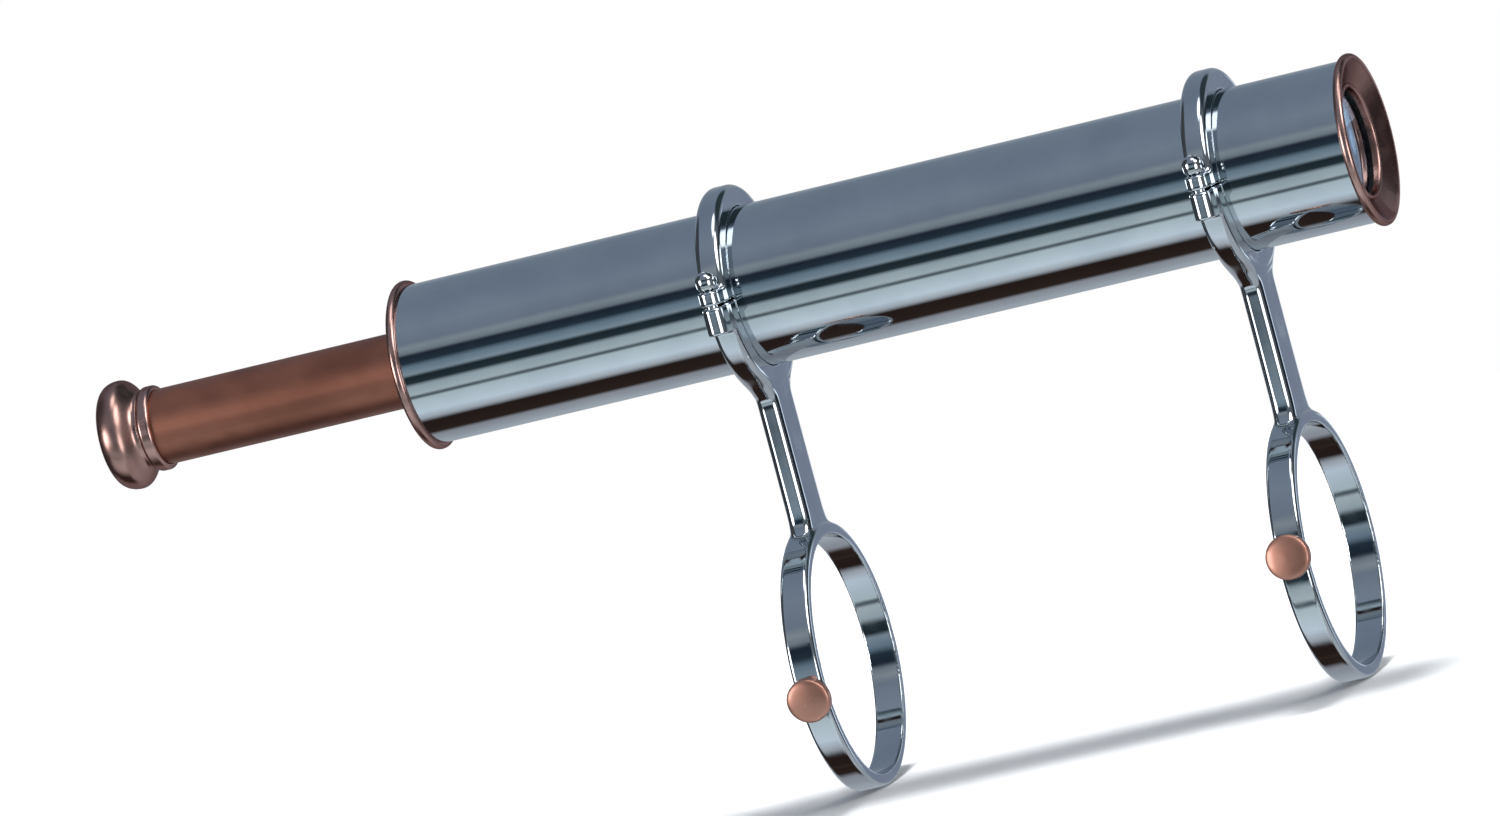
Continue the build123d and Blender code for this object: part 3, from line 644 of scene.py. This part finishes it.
SLEEVE_R = 10.6
PLUG_BORE_R = INNER_R - 1.6
COLLAR_R = 12.0
COLLAR_FACE = CAP_FACE - 1.2
GROOVE_FLOOR = CAP_FACE + 0.45
CAP_BACK = TUBE_REAR + 1.5


def end_cap():
    """The end cap: a hollow plug in the tube, a beaded lip, a shallow groove in its face, and a
    collar round the draw tube."""
    front = high("end_cap").x
    corners = [(front, PLUG_BORE_R, 0.2), (front, INNER_R, 0.2), (TUBE_REAR, INNER_R, 0)]
    corners += lip(CAP_FACE, TUBE_REAR)
    corners += [
        (CAP_FACE, LIP_SHOULDER_R - 0.8, 0.15), (GROOVE_FLOOR, LIP_SHOULDER_R - 1.5, 0.15),
        (GROOVE_FLOOR, COLLAR_R + 1.4, 0.2), (CAP_FACE, COLLAR_R + 0.7, 0.2),
        (COLLAR_FACE, COLLAR_R, 0.3), (COLLAR_FACE, SLEEVE_R + SEAT, 0.12),
        (CAP_BACK, SLEEVE_R + SEAT, 0.1), (CAP_BACK, PLUG_BORE_R, 0.3),
    ]
    piece = turned("end_cap_disc", rounded(corners), POLISHED_COPPER, segments=224)
    fit(piece, "scope", "polished_copper", "end_cap")


DRAW_WALL = 0.8
FERRULE_ROUND = 0.9


def draw_tube():
    rear, front = low("draw_tube").x, high("draw_tube").x
    outline = tube_outline(rear, front, DRAW_R - DRAW_WALL, DRAW_R, size=0.12)
    fit(turned("draw_tube_shell", outline, SATIN_COPPER), "draw", "satin_copper", "draw_tube")


def draw_ferrule():
    """The ferrule: a narrow collar with well rounded rims."""
    rear, front = FLANGE, high("draw_ferrule").x
    outer, bore = high("draw_ferrule").z - AXIS_Z, DRAW_R + SEAT
    corners = [
        (rear, bore, 0.1), (rear, outer, FERRULE_ROUND), (front, outer, FERRULE_ROUND), (front, bore, 0.1),
    ]
    piece = turned("draw_ferrule_collar", rounded(corners), POLISHED_COPPER)
    fit(piece, "draw", "polished_copper", "draw_ferrule")


CUP_RIM = FLANGE - 5.6        # the bell's widest part
CUP_CROWN_R = 9.6
NECK_R = 9.35
NECK_BEAD_R = NECK_R + 0.45
EYE_HOLE_R = 4.6
EYE_LENS_R = 7.5
EYE_LENS_SEAT = FLANGE - 3.2


def eyepiece_cup():
    """The cup: a bead and a hollow neck behind the ferrule, a bell with a full round rim, and a
    dished face down to the eye hole."""
    rear, front = low("eyepiece_cup").x, high("eyepiece_cup").x
    rim_r, plug_r = high("eyepiece_cup").z - AXIS_Z, DRAW_R - DRAW_WALL - SEAT
    neck = curve(
        (FLANGE - 0.7, NECK_R), (FLANGE - 2.4, NECK_R), (FLANGE - 2.7, rim_r), (CUP_RIM, rim_r),
        steps=20,
    )
    crown = curve(
        (CUP_RIM, rim_r), (CUP_RIM - 2.6, rim_r), (rear, CUP_CROWN_R + 2.2), (rear, CUP_CROWN_R),
    )
    face = curve(
        (rear, CUP_CROWN_R), (rear, CUP_CROWN_R - 1.9),
        (rear + 2.2, EYE_HOLE_R + 2.6), (EYE_LENS_SEAT - 1.1, EYE_HOLE_R + 0.25),
    )
    corners = [
        (front, EYE_LENS_R + RUN, 0.15), (front, plug_r, 0.15), (FLANGE, plug_r, 0),
        (FLANGE, NECK_BEAD_R, 0.12), (FLANGE - 0.4, NECK_BEAD_R, 0.1), (FLANGE - 0.45, NECK_R, 0.05),
        *neck, *crown[1:], *face[1:], (EYE_LENS_SEAT - 0.85, EYE_HOLE_R, 0),
        (EYE_LENS_SEAT, EYE_HOLE_R, 0.1), (EYE_LENS_SEAT, EYE_LENS_R + RUN, 0.1),
    ]
    piece = turned("eyepiece_cup_bell", rounded(corners), POLISHED_COPPER, segments=192)
    fit(piece, "draw", "polished_copper", "eyepiece_cup")


SLEEVE_BORE_R = 9.9
SLEEVE_LIP = 1.2              # inward lip that keeps the felt in


def guide_sleeve():
    """The guide sleeve: a thin tube for the felt, with its lip at the front."""
    rear, front = low("draw_guide_sleeve").x, high("draw_guide_sleeve").x
    outer, lip_bore = high("draw_guide_sleeve").z - AXIS_Z, DRAW_R + 2 * RUN
    corners = [
        (rear, SLEEVE_BORE_R, 0.12), (rear, outer, 0.12), (front, outer, 0.12), (front, lip_bore, 0.12),
        (front - SLEEVE_LIP, lip_bore, 0.12), (front - SLEEVE_LIP, SLEEVE_BORE_R, 0.05),
    ]
    piece = turned("guide_sleeve_tube", rounded(corners), BRASS)
    fit(piece, "scope", "plain_brass", "draw_guide_sleeve")


def felt_liner():
    rear, front = low("felt_liner").x, high("felt_liner").x
    outline = tube_outline(rear, front, DRAW_R + RUN, high("felt_liner").z - AXIS_Z, size=0.2)
    fit(turned("felt_liner_sleeve", outline, FELT), "scope", "felt", "felt_liner")


def dome(apex, edge, radius, steps=24):
    """Points of a lens face from its middle to its rim, flat where apex and edge are level."""
    sag = edge - apex
    if not sag:
        return [(apex, radius * k / steps) for k in range(steps + 1)]
    ball = (radius**2 + sag**2) / (2 * sag)
    points = []
    for k in range(steps + 1):
        out = radius * k / steps
        points.append((apex + ball - copysign(sqrt(ball**2 - out**2), ball), out))
    return points


def lens(name, body, node, front_sag, rear_sag):
    """A lens between its node's ends. A positive sag bulges a face out; a negative one hollows it."""
    rear, front = low(node).x, high(node).x
    radius = high(node).z - AXIS_Z
    bevel = 0.15
    front_face = dome(front + min(front_sag, 0), front - max(front_sag, 0), radius - bevel)
    rear_face = dome(rear - min(rear_sag, 0), rear + max(rear_sag, 0), radius - bevel)
    rim = [(front_face[-1][0] - bevel, radius), (rear_face[-1][0] + bevel, radius)]
    outline = front_face + rim + rear_face[::-1]
    fit(turned(name, outline, GLASS, segments=128, closed=False), body, "lens_glass", node)


def lenses():
    """The objective's crown and flint lenses, and the eyepiece's eye and field lenses."""
    lens("crown_lens_glass", "scope", "crown_lens", front_sag=0.95, rear_sag=1.40)
    lens("flint_lens_glass", "scope", "flint_lens", front_sag=-1.40, rear_sag=0)
    lens("eye_lens_glass", "draw", "eye_lens", front_sag=1.5, rear_sag=0)
    lens("field_lens_glass", "draw", "field_lens", front_sag=0, rear_sag=1.4)


def screw_axis(end):
    """Outward direction of a band screw, from its joint."""
    joint = next(joint for joint in frame["joints"] if joint["name"] == f"{end}_screw_turn")
    return Vector(joint["axis"])


def band_screws():
    """Round copper heads with a soft crown, on plain shanks, one for each band."""
    edge = BAND_SCREW_TOP - BAND_SCREW_CROWN
    bevel = 0.3
    corners = [
        (BAND_SCREW_TIP, 0, 0), (BAND_SCREW_TIP, BAND_SCREW_R, 0.3),
        (BAND_SCREW_SEAT, BAND_SCREW_R, 0.05), (BAND_SCREW_SEAT, BAND_SCREW_HEAD_R - bevel, 0.2),
        (BAND_SCREW_SEAT + bevel, BAND_SCREW_HEAD_R, 0.15),
    ]
    corners += curve(
        (edge - 0.5, BAND_SCREW_HEAD_R), (edge + 0.35, BAND_SCREW_HEAD_R),
        (BAND_SCREW_TOP - 0.15, BAND_SCREW_HEAD_R - 2.2), (BAND_SCREW_TOP, 0), steps=20,
    )
    outline = rounded(corners)
    for end, x in ENDS.items():
        place = about_band_screw(screw_axis(end))
        name = f"{end}_band_screw_knob"
        piece = turned(name, outline, SCREW_COPPER, place, segments=128, closed=False, x=x)
        fit(piece, f"{end}_screw", "polished_copper", f"{end}_band_screw")


# ---- cast pieces ---------------------------------------------------------------------------
CAST_PITCH = 0.38
SCREW_PITCH = 0.14


def brackets():
    corner = (-BOSS_R, low("rear_bracket").y, -BAND_R)
    far_corner = (BOSS_R, EAR_TIP, EAR_TOP)
    for end, x in ENDS.items():
        field = partial(bracket_field, screw_axis=screw_axis(end))
        points, quads = cast(field, corner, far_corner, CAST_PITCH)
        piece = make_piece(f"{end}_bracket_casting", points, quads, CAST_CHROME, x)
        fit(piece, "brackets", "chrome", f"{end}_bracket")


def ring_caps():
    corner = (-RING_WIDTH / 2, -EAR_TIP, CAP_FLOOR)
    far_corner = (RING_WIDTH / 2, EAR_TIP, AXIS_Z + RING_R)
    points, quads = cast(ring_cap_field, corner, far_corner, CAST_PITCH)
    for end, x in ENDS.items():
        piece = make_piece(f"{end}_ring_cap_casting", points, quads, CAST_CHROME, x)
        fit(piece, "brackets", "chrome", f"{end}_ring_cap")


def ring_screws():
    """Four screws, two for each ring. The near ones are the far ones moved across."""
    corner = (-HEAD_R, EAR_SCREW_Y - HEAD_R, SCREW_END)
    far_corner = (HEAD_R, EAR_SCREW_Y + HEAD_R, HEAD_TOP)
    points, quads = cast(ring_screw_field, corner, far_corner, SCREW_PITCH)
    near = points - np.array([0, 2 * EAR_SCREW_Y, 0])
    for end, x in ENDS.items():
        for side, shape in (("far", points), ("near", near)):
            piece = make_piece(f"{end}_{side}_ring_screw", shape, quads, SCREW_CHROME, x)
            fit(piece, "brackets", "screw_chrome", f"{end}_ring_screws")


# ---- inner pieces kept from the CAD model --------------------------------------------------
CARRIED_OVER = {
    "objective_cell": INNER_BLACK,
    "lens_retaining_ring": INNER_BLACK,
    "tube_baffle": INNER_BLACK,
    "eye_lens_retainer": INNER_BLACK,
    "lens_spacer": INNER_BLACK,
    "field_stop": INNER_BLACK,
    "crosshair_ring": INNER_BLACK,
    "draw_stop_bush": BRASS,
}


def carried_over():
    for node, material in CARRIED_OVER.items():
        mesh = nodes[node].data
        mesh.materials.clear()
        mesh.materials.append(material)


# ---- studio --------------------------------------------------------------------------------
VIEW_AZIMUTH = 18.13
VIEW_ELEVATION = 5.5
VIEW_ROLL = -15.05
VIEW_DISTANCE = 3.03
VIEW_AIM = Vector((-6.4, 0.0, 61.7)) * MM
LENS_MM = 312
SENSOR_MM = 36


def camera():
    """The photo's viewing angle, from the near side and a little in front and above."""
    azimuth, elevation, roll = radians(VIEW_AZIMUTH), radians(VIEW_ELEVATION), radians(VIEW_ROLL)
    back = Vector((sin(azimuth) * cos(elevation), -cos(azimuth) * cos(elevation), sin(elevation)))
    level = Vector((cos(azimuth), sin(azimuth), 0))
    right = level * cos(roll) + back.cross(level) * sin(roll)
    data = bpy.data.cameras.new("camera")
    data.lens = LENS_MM
    data.sensor_width = SENSOR_MM
    data.clip_start, data.clip_end = 0.01, 100
    rig = bpy.data.objects.new("camera", data)
    turn = Matrix((right, back.cross(right), back)).transposed()
    rig.matrix_world = Matrix.Translation(VIEW_AIM + back * VIEW_DISTANCE) @ turn.to_4x4()
    bpy.context.scene.collection.objects.link(rig)
    bpy.context.scene.camera = rig


FLOOR_R = 0.55
FLOOR_SIDES = 128
FLOOR_GAP = 0.0002


def floor():
    """A pale round floor under the bands, which the bright metals don't mirror."""
    turns = [2 * pi * k / FLOOR_SIDES for k in range(FLOOR_SIDES)]
    ring = [(FLOOR_R * cos(turn), FLOOR_R * sin(turn), 0) for turn in turns]
    mesh = bpy.data.meshes.new("floor")
    mesh.from_pydata(ring, [], [tuple(range(FLOOR_SIDES))])
    material, tree, shader, place = new_material("pale_floor")
    tone = noise(tree, place, scale=3, detail=2)
    colour = mix_colours(tree, tone, (0.82, 0.82, 0.82), (0.84, 0.84, 0.84))
    tree.links.new(colour, shader.inputs["Base Color"])
    shader.inputs["Roughness"].default_value = 0.9
    shader.inputs["Specular IOR Level"].default_value = 0.2
    mesh.materials.append(material)
    disc = bpy.data.objects.new("floor", mesh)
    disc.location = ((cad_box[0].x + cad_box[1].x) / 2, 0, cad_box[0].z - FLOOR_GAP)
    disc.visible_glossy = False
    bpy.context.scene.collection.objects.link(disc)
    disc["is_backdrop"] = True


# Surroundings by their angle in degrees about the finder's axis: 0 is the near side, 90 straight
# up, 180 the far side and -90 straight down.
SKY = [
    (-180, (0.38, 0.42, 0.47)),
    (-140, (0.49, 0.53, 0.58)),
    (-116, (0.42, 0.42, 0.46)),
    (-108, (0.04, 0.025, 0.02)),
    (-82, (0.03, 0.018, 0.015)),
    (-75, (0.60, 0.62, 0.66)),
    (-64, (0.90, 1.00, 1.09)),
    (-42, (0.70, 0.80, 0.83)),
    (-39, (0.12, 0.15, 0.17)),
    (-37, (0.12, 0.15, 0.17)),
    (-34, (0.64, 0.72, 0.74)),
    (-22, (0.52, 0.60, 0.64)),
    (-17, (0.03, 0.05, 0.06)),
    (-8, (0.02, 0.03, 0.04)),
    (-4, (0.34, 0.42, 0.48)),
    (6, (0.22, 0.30, 0.37)),
    (12, (0.03, 0.05, 0.07)),
    (22, (0.02, 0.03, 0.05)),
    (26, (0.26, 0.30, 0.34)),
    (33, (0.36, 0.40, 0.44)),
    (40, (0.25, 0.29, 0.36)),
    (62, (0.29, 0.34, 0.42)),
    (100, (0.25, 0.30, 0.39)),
    (150, (0.24, 0.29, 0.36)),
    (180, (0.38, 0.42, 0.47)),
]
# Round screens of light and dark before the surroundings: direction, half angle of the full part
# and of the soft edge in degrees, and colour. Each one covers those before it.
SCREENS = [
    ((-1.00, 0.00, -0.10), 32, 42, (0.05, 0.06, 0.07)),
    ((-0.85, 0.00, 0.52), 24, 34, (0.07, 0.08, 0.09)),
    ((-0.72, -0.68, 0.10), 9, 17, (6.6, 6.5, 6.5)),
    ((0.90, -0.20, 0.20), 42, 56, (0.16, 0.18, 0.20)),
    ((0.31, 0.95, -0.10), 13, 22, (0.27, 0.31, 0.40)),
    ((0.45, 0.60, 0.66), 18, 28, (0.04, 0.06, 0.07)),
    ((0.85, 0.50, -0.05), 18, 28, (0.03, 0.03, 0.04)),
    ((0.60, 0.00, -0.80), 22, 34, (0.55, 0.58, 0.62)),
    ((0.15, 0.98, -0.10), 3, 6, (0.9, 1.0, 1.1)),
    ((0.50, 0.86, -0.10), 5, 9, (1.3, 1.5, 1.7)),
    ((0.26, -0.05, 0.96), 9, 18, (3.2, 3.2, 3.2)),
    ((0.75, -0.25, 0.61), 13, 20, (5.0, 5.0, 5.0)),
    ((0.80, -0.58, -0.10), 10, 17, (4.0, 4.0, 4.0)),
]


def screen(tree, place, colour, direction, full, edge, light):
    """Covers the surroundings with a round screen about one direction."""
    inputs = {0: place, 1: Vector(direction).normalized()}
    toward = wire(tree, "ShaderNodeVectorMath", inputs, operation="DOT_PRODUCT").outputs["Value"]
    cover = spread(tree, toward, (cos(radians(edge)), cos(radians(full))), (0, 1))
    return mix_colours(tree, cover, colour, light)


def math_node(tree, operation, *values):
    """Result of a Math node."""
    return wire(tree, "ShaderNodeMath", dict(enumerate(values)), operation=operation).outputs[0]


def sky():
    """Soft studio surroundings that the metals mirror: the sky's bands, with the screens before
    them. The camera itself sees plain white."""
    world = bpy.data.worlds.new("studio")
    bpy.context.scene.world = world
    world.use_nodes = True
    tree = world.node_tree
    tree.nodes.clear()
    place = wire(tree, "ShaderNodeTexCoord", {}).outputs["Generated"]
    parts = wire(tree, "ShaderNodeSeparateXYZ", {"Vector": place}).outputs
    near_side = math_node(tree, "MULTIPLY", parts["Y"], -1.0)
    angle = math_node(tree, "ARCTAN2", parts["Z"], near_side)
    share = math_node(tree, "MULTIPLY_ADD", angle, 1 / (2 * pi), 0.5)
    ramp = wire(tree, "ShaderNodeValToRGB", {"Fac": share})
    stops = ramp.color_ramp.elements
    while len(stops) < len(SKY):
        stops.new(0.5)
    for stop, (degrees, colour) in zip(stops, SKY):
        stop.position = degrees / 360 + 0.5
        stop.color = (*colour, 1)
    colour = ramp.outputs["Color"]
    for direction, full, edge, light in SCREENS:
        colour = screen(tree, place, colour, direction, full, edge, light)
    seen = wire(tree, "ShaderNodeLightPath", {}).outputs["Is Camera Ray"]
    colour = mix_colours(tree, seen, colour, (1, 1, 1))
    background = wire(tree, "ShaderNodeBackground", {"Color": colour, "Strength": 1.0})
    wire(tree, "ShaderNodeOutputWorld", {"Surface": background.outputs["Background"]})


OVERHEAD_STRENGTH = 3.6
OVERHEAD_SPREAD = 14
OVERHEAD_TILT = (-6, 5, 0)


def overhead_light():
    """A broad, soft light from above that the bright metals don't mirror."""
    data = bpy.data.lights.new("overhead", "SUN")
    data.energy = OVERHEAD_STRENGTH
    data.angle = radians(OVERHEAD_SPREAD)
    light = bpy.data.objects.new("overhead", data)
    light.rotation_euler = [radians(degrees) for degrees in OVERHEAD_TILT]
    light.visible_glossy = False
    bpy.context.scene.collection.objects.link(light)


carried_over()
body_tube()
objective_bezel()
end_cap()
draw_tube()
draw_ferrule()
eyepiece_cup()
guide_sleeve()
felt_liner()
lenses()
band_screws()
brackets()
ring_caps()
ring_screws()

bpy.context.scene.view_settings.view_transform = "Standard"
camera()
floor()
sky()
overhead_light()

boxes = {"cad": cad_box, "visual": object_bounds()}
{name: [list(corner) for corner in box] for name, box in boxes.items()}
